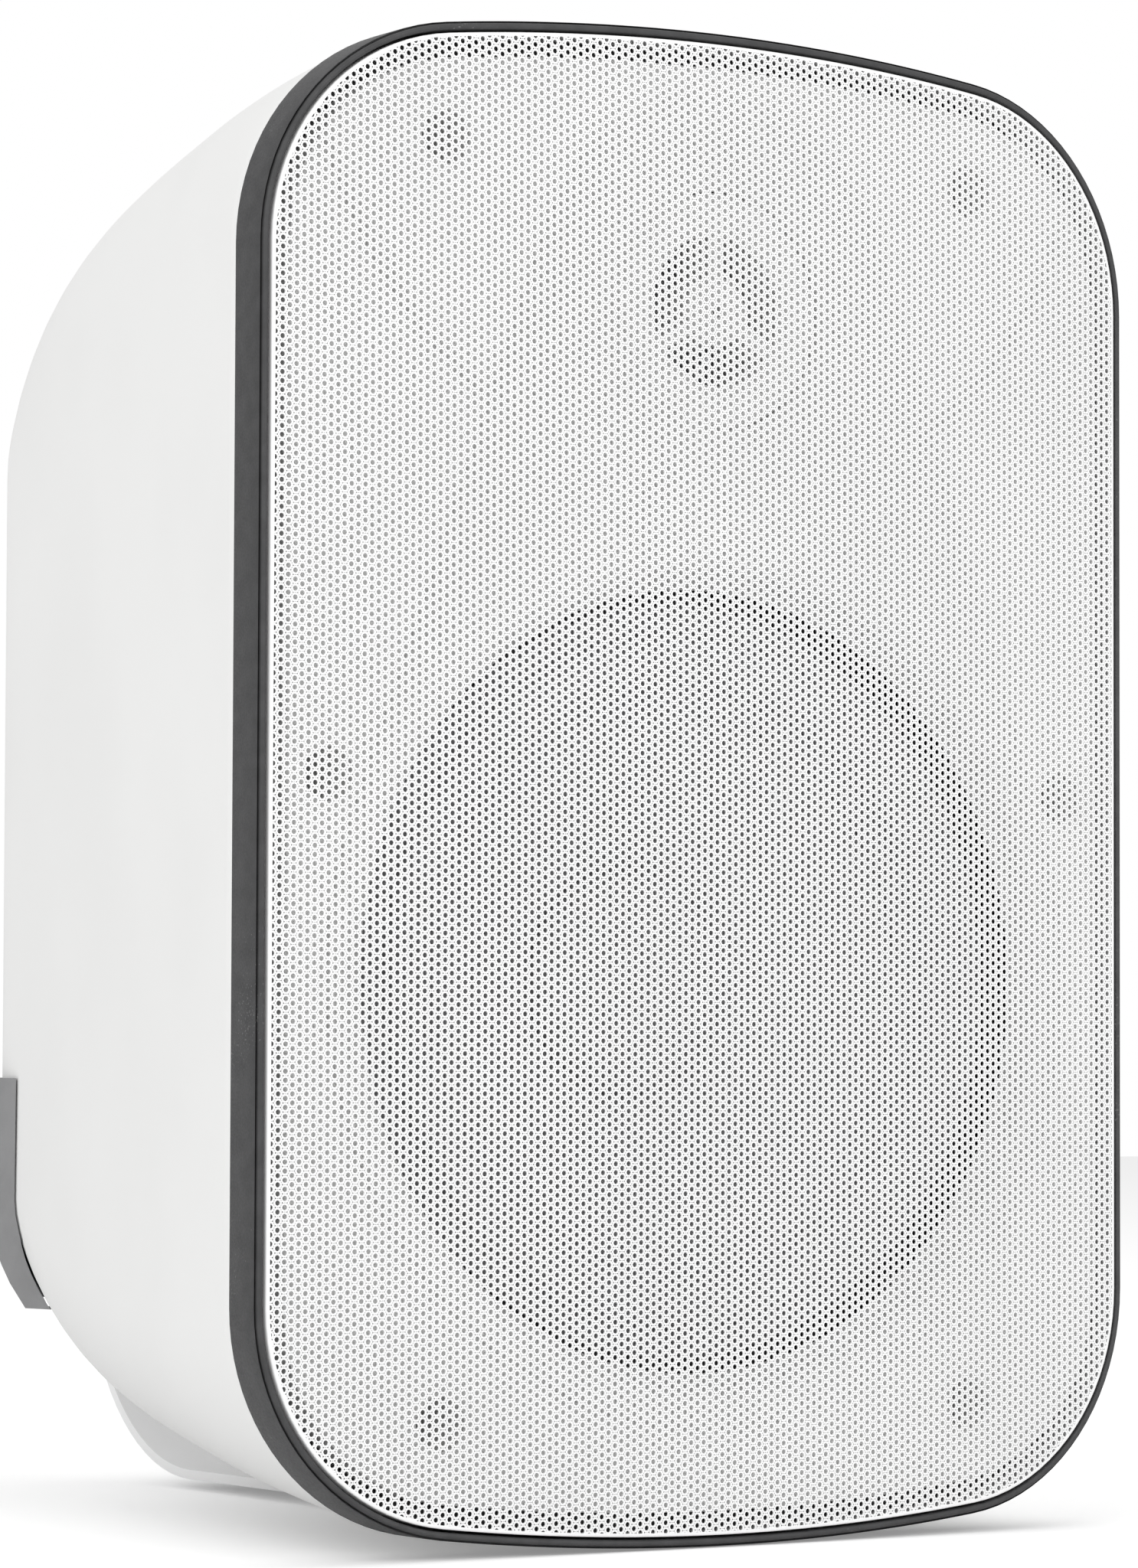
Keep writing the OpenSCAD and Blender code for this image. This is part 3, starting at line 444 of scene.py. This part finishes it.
def shell_ring(t, grow=0.0):
    """The cabinet's outline at share t of its depth, moved out from its surface by grow."""
    depth = SHELL_DEPTH
    y = SHELL_Y + depth * t
    over = max(0.0, y - (SHELL_Y + depth - BACK_R))
    half_w = (RIM_W / 2 - SHELL_STEP - math.tan(TAPER) * (y - SHELL_Y)
              - BACK_R + math.sqrt(max(0.0, BACK_R ** 2 - over ** 2)) + grow)
    share = (1 - HEIGHT_LOSS * t) * max(0.0, 1 - t ** 5.5) ** (1 / 6.2)
    half_h = (RIM_H / 2 - SHELL_STEP) * share + grow
    corner_r = BODY_CORNER_R + (CORNER_R - BODY_CORNER_R) * max(0.0, 1 - depth * t / CORNER_BLEND) ** 2
    return ring_of([(x * 2 * half_w / RIM_W, z * 2 * half_h / RIM_H)
                    for x, z in outline(0, corner_r=corner_r)], y + grow * t ** 12)


def shell_shares(count, first=0.0):
    """Shares of the depth, set closer together where the cabinet turns towards its back."""
    shares = [math.sin(math.radians(89.6) * i / count) ** (2 / 5.5) for i in range(1, count + 1)]
    front = [shares[0] * i / 10 for i in range(1, 10)]
    return [first] + [t for t in front + shares if t > first + 0.004]


def cabinet():
    """White moulded cabinet: rounded front edge, curved walls, seats for the pivots, terminal pocket."""
    inner = [shell_ring(t, -SHELL_WALL) for t in reversed(shell_shares(24))]
    edge = [shell_ring(0, -0.4 * MM), [p + Vector((0, 0.12 * MM, 0)) for p in shell_ring(0, -0.12 * MM)]]
    skin = [[p + Vector((0, 0.4 * MM, 0)) for p in shell_ring(0)]]
    skin += [shell_ring(t) for t in shell_shares(44) if t > 0.01]
    ob = lofted(inner + edge + skin, close_first=True, close_last=True)
    seat_z = PAD_TOP - MID_Z
    for side in (-1, 1):
        deselect()
        bpy.ops.mesh.primitive_cylinder_add(vertices=96, radius=SPOT_R, depth=20 * MM,
                                            location=(0, PIVOT_Y, MID_Z + side * (seat_z + 10 * MM)))
        combine(ob, bpy.context.object)
    low = Vector((PLATE_LO[0] - 1 * MM, PLATE_LO[1], PLATE_LO[2] - 1 * MM))
    high = Vector((PLATE_HI[0] + 1 * MM, PLATE_LO[1] + 6 * MM, PLATE_HI[2] + 1 * MM))
    wall = Vector((2.4 * MM,) * 3)
    combine(ob, block(low - wall, high + Vector((wall.x, 0, wall.z))), "UNION")
    combine(ob, block(low, high + Vector((0, 30 * MM, 0))))
    finish(ob, "cabinet_skin", "white_abs", "cabinet", 40)
    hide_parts("cabinet_shell")
    for side in (-1, 1):
        deselect()
        bpy.ops.mesh.primitive_cylinder_add(vertices=72, radius=15 * MM, depth=9 * MM,
                                            location=(0, PIVOT_Y, MID_Z + side * (seat_z - 4.5 * MM)))
        pad = bpy.context.object
        soften(pad, 0.8 * MM)
        settle(pad)
        finish(pad, "pivot_pad_" + ("top" if side > 0 else "bottom"), "white_abs", "cabinet")


def back_pad():
    """Low raised pad on the cabinet's upper back."""
    low, high = MID_Z + 57 * MM, MID_Z + 87 * MM
    ob = shell_block(1.0 * MM, [(PAD_X, low), (PAD_X, high)], low, high)
    soften(ob, 0.3 * MM)
    finish(ob, "back_pad", "white_abs", "cabinet", 40)


def shell_block(grow, side, low, high):
    """A solid piece of the cabinet's shape, moved out by grow and cut square at its ends; side is
    the line of places (x, z) up which its two side edges are cut."""
    ob = lofted([shell_ring(t, grow) for t in shell_shares(44, 0.6)], close_first=True, close_last=True)
    activate(ob)
    bpy.ops.object.mode_set(mode="EDIT")
    cuts = [((0, 0, low), (0, 0, -1)), ((0, 0, high), (0, 0, 1))]
    for (x0, z0), (x1, z1) in zip(side, side[1:]):
        cuts += [((s * x0, 0, z0), (s * (z1 - z0), 0, x0 - x1)) for s in (-1, 1)]
    for place, normal in cuts:
        bpy.ops.mesh.select_all(action="SELECT")
        bpy.ops.mesh.bisect(plane_co=place, plane_no=normal, use_fill=True, clear_outer=True)
    bpy.ops.mesh.select_all(action="SELECT")
    bpy.ops.mesh.normals_make_consistent(inside=False)
    bpy.ops.object.mode_set(mode="OBJECT")
    return ob


# Side edge of the cover: half widths, and heights above its lower edge, in mm
COVER_SIDE = [(53.0, 0), (57.3, 8.5), (60.0, 15.5), (61.6, 22.5), (62.3, 32.5), (62.3, 47)]


def terminal_cover():
    """Dark grey cover over the terminals, which follows the cabinet's curved back: hollow, with
    sunk screw holes and a way out for the wires at its lower edge."""
    proud = 4.5 * MM
    wall = 2.4 * MM
    screw_x = COVER_SCREW_HI[0] - 3 * MM
    screw_z = (COVER_SCREW_LO[2] + COVER_SCREW_HI[2]) / 2
    seat_y = COVER_SCREW_HI[1] - 1.8 * MM
    far_y = COVER_HI[1] + 5 * MM
    side = [(x * MM, COVER_LO[2] + z * MM) for x, z in COVER_SIDE]
    ob = shell_block(proud, side, COVER_LO[2], COVER_HI[2])
    side = [(x - wall, z) for x, z in side]
    hollow = shell_block(proud - wall, side, COVER_LO[2] + wall, COVER_HI[2] - wall)
    for x in (-screw_x, screw_x):
        combine(hollow, rod(x, screw_z, COVER_LO[1] - 5 * MM, far_y, 4 * MM))
    combine(ob, hollow)
    combine(ob, lofted([shell_ring(t, 0.4 * MM) for t in shell_shares(44, 0.5)], True, True))
    combine(ob, block((-8 * MM, PLATE_LO[1], COVER_LO[2] - 1 * MM), (8 * MM, far_y, COVER_LO[2] + wall + 1 * MM)))
    for x in (-screw_x, screw_x):
        combine(ob, rod(x, screw_z, PLATE_LO[1], far_y, 1.7 * MM))
        combine(ob, rod(x, screw_z, seat_y, far_y, 3.4 * MM))
    soften(ob, 0.5 * MM, 50)
    finish(ob, "back_cover", "grey_abs", "cabinet", 40)
    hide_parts("terminal_cover")


# The front bulges: its crown stands forward of its side edges, and the rim follows the grille
BULGE = 3.8 * MM
SIDE_Y = CROWN_Y + 0.05 * MM


def bulge(x):
    """How far the front stands forward at a sideways place, from its side edges to its crown."""
    return BULGE * (1 - (2 * x / RIM_W) ** 2)


# Front rim: one profile carried round the outline
def front_rim():
    """Dark moulded rim: side band, groove line, rounded lip, and the ledge behind the grille."""
    back = RIM_BACK
    profile = [(6.2, back), (0.3, back), (0.08, back - 0.08), (0.0, back - 0.25), (0.0, 1.0), (0.02, 0.86),
               (0.08, 0.78), (0.13, 0.86), (0.14, 1.5), (0.4, 1.5), (0.41, 0.75), (0.46, 0.44), (0.6, 0.22),
               (0.8, 0.12), (1.0, 0.1), (1.22, 0.12), (1.42, 0.24), (1.55, 0.45), (1.6, 0.75), (1.6, 7.0),
               (6.2, 7.0), (6.2, back)]
    rings = []
    for inset, depth in profile:
        share = min(1.0, (back - depth) / (back - 1.2))
        rings.append([p - Vector((0, bulge(p.x) * share, 0))
                      for p in ring_of(outline(inset * MM, 20, 16), CROWN_Y + depth * MM)])
    ob = lofted(rings)
    finish(ob, "rim", "dark_abs", "cabinet", 60)
    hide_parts("front_rim")


# Grille: real perforation, one cell repeated over a hexagonal lattice
PITCH = 1.626 * MM
HOLE_R = 0.5 * MM
SHEET = 0.3 * MM
SHEET_IN = 2.6 * MM
LATTICE_X = -1.3 * MM
LATTICE_Z = MID_Z - 1 * MM
ROW_BANDS = 4


def grille_cell():
    """Two cells of the sheet, each a round hole in a hexagon, lying flat."""
    deselect()
    bpy.ops.mesh.primitive_circle_add(vertices=6, radius=PITCH / math.sqrt(3), location=(0, 0, 0))
    ob = bpy.context.object
    bpy.ops.object.mode_set(mode="EDIT")
    bpy.ops.mesh.select_all(action="DESELECT")
    bpy.ops.mesh.primitive_circle_add(vertices=8, radius=HOLE_R)
    bpy.ops.mesh.select_all(action="SELECT")
    bpy.ops.mesh.bridge_edge_loops()
    bpy.ops.mesh.select_all(action="SELECT")
    bpy.ops.mesh.duplicate_move(TRANSFORM_OT_translate={"value": (PITCH * math.sqrt(3) / 2, PITCH / 2, 0)})
    bpy.ops.mesh.select_all(action="SELECT")
    bpy.ops.mesh.remove_doubles(threshold=1e-6)
    bpy.ops.object.mode_set(mode="OBJECT")
    return ob


def repeated(ob, count, step):
    mod = ob.modifiers.new("repeat", "ARRAY")
    mod.count = count
    mod.use_relative_offset = False
    mod.use_constant_offset = True
    mod.constant_offset_displace = step
    mod.use_merge_vertices = True
    mod.merge_threshold = 1e-5
    apply_modifiers(ob)


def inside_by(x, z, inset):
    """How far a place lies inside the rim's outline moved in by an inset."""
    cx = RIM_W / 2 - CORNER_R
    arch_z = RIM_H / 2 - ARCH_R
    cz = arch_z + math.sqrt((ARCH_R - CORNER_R) ** 2 - cx ** 2)
    x, z = abs(x), abs(z)
    if x > cx and z > cz and math.atan2(z - cz, x - cx) < math.atan2(cz - arch_z, cx):
        return CORNER_R - inset - math.hypot(x - cx, z - cz)
    return min(RIM_W / 2 - inset - x, ARCH_R - inset - math.hypot(x, z - arch_z))


def grille_sheets():
    """The flat lattice in bands of rows, with the cells on the border as a piece of their own."""
    columns = math.ceil(RIM_W / 2 / (PITCH * math.sqrt(3)))
    rows = math.ceil(RIM_H / 2 / PITCH / (ROW_BANDS / 2))
    cell = grille_cell()
    activate(cell)
    bpy.ops.transform.translate(value=(LATTICE_X - columns * PITCH * math.sqrt(3),
                                       -rows * ROW_BANDS / 2 * PITCH, 0))
    bpy.ops.object.transform_apply(location=True)
    repeated(cell, 2 * columns + 1, (PITCH * math.sqrt(3), 0, 0))
    repeated(cell, rows, (0, PITCH, 0))
    bands = [cell]
    for i in range(1, ROW_BANDS):
        activate(cell)
        bpy.ops.object.duplicate()
        copy = bpy.context.object
        bpy.ops.transform.translate(value=(0, i * rows * PITCH, 0))
        bpy.ops.object.transform_apply(location=True)
        bands.append(copy)
    drop = LATTICE_Z - MID_Z
    margin = PITCH
    borders = []
    for band in bands:
        activate(band)
        bpy.ops.object.mode_set(mode="EDIT")
        mesh = bmesh.from_edit_mesh(band.data)
        reach = {v: inside_by(v.co.x, v.co.y + drop, SHEET_IN) for v in mesh.verts}
        bpy.ops.mesh.select_mode(type="FACE")
        for face in mesh.faces:
            face.select_set(all(reach[v] < 0 for v in face.verts))
        bmesh.update_edit_mesh(band.data)
        bpy.ops.mesh.delete(type="FACE")
        mesh = bmesh.from_edit_mesh(band.data)
        reach = {v: inside_by(v.co.x, v.co.y + drop, SHEET_IN) for v in mesh.verts}
        for face in mesh.faces:
            face.select_set(any(reach[v] < margin for v in face.verts))
        bmesh.update_edit_mesh(band.data)
        bpy.ops.mesh.separate(type="SELECTED")
        bpy.ops.object.mode_set(mode="OBJECT")
        borders += [ob for ob in bpy.context.selected_objects if ob is not band]
    activate(*borders)
    bpy.ops.object.join()
    border = bpy.context.object
    bpy.ops.object.mode_set(mode="EDIT")
    bpy.ops.mesh.select_all(action="SELECT")
    bpy.ops.mesh.remove_doubles(threshold=1e-6)
    points = outline(SHEET_IN, 14)
    for (x0, z0), (x1, z1) in zip(points, points[1:] + points[:1]):
        bpy.ops.mesh.select_all(action="SELECT")
        bpy.ops.mesh.bisect(plane_co=(x0, z0 - drop, 0), plane_no=(z1 - z0, x0 - x1, 0), clear_outer=True)
    bpy.ops.mesh.select_all(action="SELECT")
    bpy.ops.mesh.remove_doubles(threshold=0.04 * MM)
    bpy.ops.mesh.dissolve_degenerate(threshold=0.03 * MM)
    bpy.ops.object.mode_set(mode="OBJECT")
    return bands + [border]


def grille():
    """White perforated sheet: bowed front, and an edge turned back all round."""
    for i, ob in enumerate(grille_sheets()):
        for vert in ob.data.vertices:
            vert.co = (vert.co.x, SIDE_Y - bulge(vert.co.x), vert.co.y + LATTICE_Z)
        activate(ob)
        bpy.ops.object.mode_set(mode="EDIT")
        bpy.ops.mesh.select_all(action="SELECT")
        bpy.ops.mesh.normals_make_consistent(inside=False)
        mesh = bmesh.from_edit_mesh(ob.data)
        mesh.faces.ensure_lookup_table()
        if mesh.faces[0].normal.y > 0:
            bpy.ops.mesh.flip_normals()
        bpy.ops.object.mode_set(mode="OBJECT")
        mod = ob.modifiers.new("sheet", "SOLIDIFY")
        mod.thickness = SHEET
        mod.offset = -1
        mod.use_rim = True
        mod.use_rim_only = True
        apply_modifiers(ob)
        for vert in ob.data.vertices:
            front = SIDE_Y - bulge(vert.co.x)
            vert.co.y = min(front + SHEET, max(front, vert.co.y))
            for _ in range(3):
                x, z = vert.co.x, vert.co.z - MID_Z
                over = min(0.0, inside_by(x, z, SHEET_IN)) / math.hypot(x, z)
                vert.co.x += x * over
                vert.co.z += z * over
        finish(ob, "grille_sheet_%d" % (i + 1), "white_steel", "cabinet", 30)
        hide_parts("grille")
    profile = [(2.82, -0.012), (2.55, -0.012), (2.36, 0.03), (2.22, 0.12), (2.15, 0.25), (2.13, 0.45)]
    rings = []
    for inset, fall in profile:
        ring = ring_of(outline(inset * MM, 20, 16), 0)
        rings.append([Vector((p.x, SIDE_Y - bulge(p.x) + fall * MM, p.z)) for p in ring])
    rings.append(ring_of(outline(2.13 * MM, 20, 16), GRILLE_HI[1]))
    ob = lofted(rings)
    mod = ob.modifiers.new("sheet", "SOLIDIFY")
    mod.thickness = SHEET
    mod.offset = -1
    apply_modifiers(ob)
    finish(ob, "grille_edge", "white_steel", "cabinet", 50)
    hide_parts("grille")


# Pieces whose true shape is the CAD node's own: a merged copy gets rounded edges
def rounded_copy(node, radius, segments=3, angle=35, smooth=32):
    source = NODES[node]
    ob = source.copy()
    ob.data = source.data.copy()
    bpy.context.collection.objects.link(ob)
    ob.parent = None
    activate(ob)
    bpy.ops.object.mode_set(mode="EDIT")
    bpy.ops.mesh.select_all(action="SELECT")
    bpy.ops.mesh.remove_doubles(threshold=1e-6)
    bpy.ops.mesh.dissolve_limited(angle_limit=math.radians(0.4))
    bpy.ops.object.mode_set(mode="OBJECT")
    soften(ob, radius, angle, segments)
    finish(ob, node + "_rounded", SLOT_OF[node], BODY_OF[node], smooth)
    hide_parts(node)
    return ob


def bulged_copy(node, radius):
    """A rounded copy whose front face stands close behind the bulging grille; its back stays."""
    ob = rounded_copy(node, radius)
    activate(ob)
    bpy.ops.object.mode_set(mode="EDIT")
    for step in range(-11, 12):
        bpy.ops.mesh.select_all(action="SELECT")
        bpy.ops.mesh.bisect(plane_co=(step * 8 * MM, 0, 0), plane_no=(1, 0, 0))
    bpy.ops.object.mode_set(mode="OBJECT")
    back = CROWN_Y + 10.6 * MM
    front = CROWN_Y + 8.6 * MM
    for vert in ob.data.vertices:
        reach = math.hypot(vert.co.x, vert.co.z - WOOFER_Z)
        if node == "baffle" and reach < 74.5 * MM and vert.co.y > back - 1 * MM:
            vert.co.y -= 5.3 * MM
            vert.co.x *= 74 / 73
            vert.co.z = WOOFER_Z + (vert.co.z - WOOFER_Z) * 74 / 73
            continue
        share = min(1.0, max(0.0, (back - vert.co.y) / (back - front)))
        vert.co.y = max(vert.co.y, CROWN_Y + 6.6 * MM) - share * (5.7 * MM + bulge(vert.co.x))
    finish(ob, node + "_bulged", SLOT_OF[node], BODY_OF[node], 32)
    return ob


# Bracket: a steel strip bent to a U, round eyes on its ends, holes for the wall
ARM_Z = BRACKET_HI[2] - MID_Z
BEND_R = 46 * MM
STRIP_T = 2 * MM
EYE_T = 4.5 * MM
BOLT_R = 3.2 * MM
HOLE_PITCH = 120 * MM
HOLE_R_WALL = 2.75 * MM


def wall_bracket():
    """White U-bracket: the strip is carried along its path, then joined to its eyes and drilled."""
    half_w = (BRACKET_HI[0] - BRACKET_LO[0]) / 2
    back_y = BRACKET_HI[1]
    path = [(PIVOT_Y, ARM_Z, 0.0)]
    path += [(back_y - BEND_R + BEND_R * math.sin(a), ARM_Z - BEND_R + BEND_R * math.cos(a), a)
             for a in [math.radians(5 * i) for i in range(19)]]
    path += [(y, -z, math.pi - a) for y, z, a in reversed(path)]
    rings = []
    for y, z, a in path:
        out = Vector((0, math.sin(a), math.cos(a)))
        corners = [(half_w, 0.0), (-half_w, 0.0), (-half_w, -STRIP_T), (half_w, -STRIP_T)]
        rings.append([Vector((x, y, MID_Z + z)) + out * deep for x, deep in corners])
    ob = lofted(rings, close_first=True, close_last=True)
    for side in (-1, 1):
        for radius, top, tall, joined in ((half_w, 0.0, EYE_T, True), (BOLT_R, 1 * MM, EYE_T + 2 * MM, False)):
            deselect()
            bpy.ops.mesh.primitive_cylinder_add(vertices=96, radius=radius, depth=tall,
                                                location=(0, PIVOT_Y, MID_Z + side * (ARM_Z + top - tall / 2)))
            combine(ob, bpy.context.object, "UNION" if joined else "DIFFERENCE")
        deselect()
        bpy.ops.mesh.primitive_cone_add(vertices=96, radius1=BOLT_R, radius2=BOLT_R + 3.6 * MM, depth=3.6 * MM,
                                        location=(0, PIVOT_Y, MID_Z + side * (ARM_Z - 1.4 * MM)),
                                        rotation=(0 if side > 0 else math.pi, 0, 0))
        combine(ob, bpy.context.object)
        combine(ob, rod(0, MID_Z + side * HOLE_PITCH / 2, back_y - 10 * MM, back_y + 10 * MM, HOLE_R_WALL))
    combine(ob, rod(0, MID_Z, back_y - 10 * MM, back_y + 10 * MM, 8 * MM))
    soften(ob, 0.5 * MM)
    finish(ob, "bracket", "white_steel", "bracket")
    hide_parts("wall_bracket")


# Radius in mm that a moulded, pressed or turned piece has on its edges
EDGE_ROUND = {
    "baffle_screws": 0.25, "tweeter_screws": 0.15,
    "woofer_basket": 0.3, "woofer_screws": 0.2, "woofer_cone": 0.1, "woofer_surround": 0.1,
    "woofer_dust_cap": 0.1, "pivot_washers": 0.3, "pivot_bolts": 0.2, "cover_screws": 0.25,
    "terminal_plate": 0.3, "terminal_block": 0.4, "lever_red": 0.4, "lever_black": 0.4, "terminal_screws": 0.2,
}

add_camera()
add_studio()
cabinet()
back_pad()
terminal_cover()
front_rim()
grille()
wall_bracket()
for node, radius in EDGE_ROUND.items():
    rounded_copy(node, radius * MM)
for node in ("baffle", "tweeter_face"):
    bulged_copy(node, 0.3 * MM)
bpy.context.scene.view_settings.view_transform = "Standard"
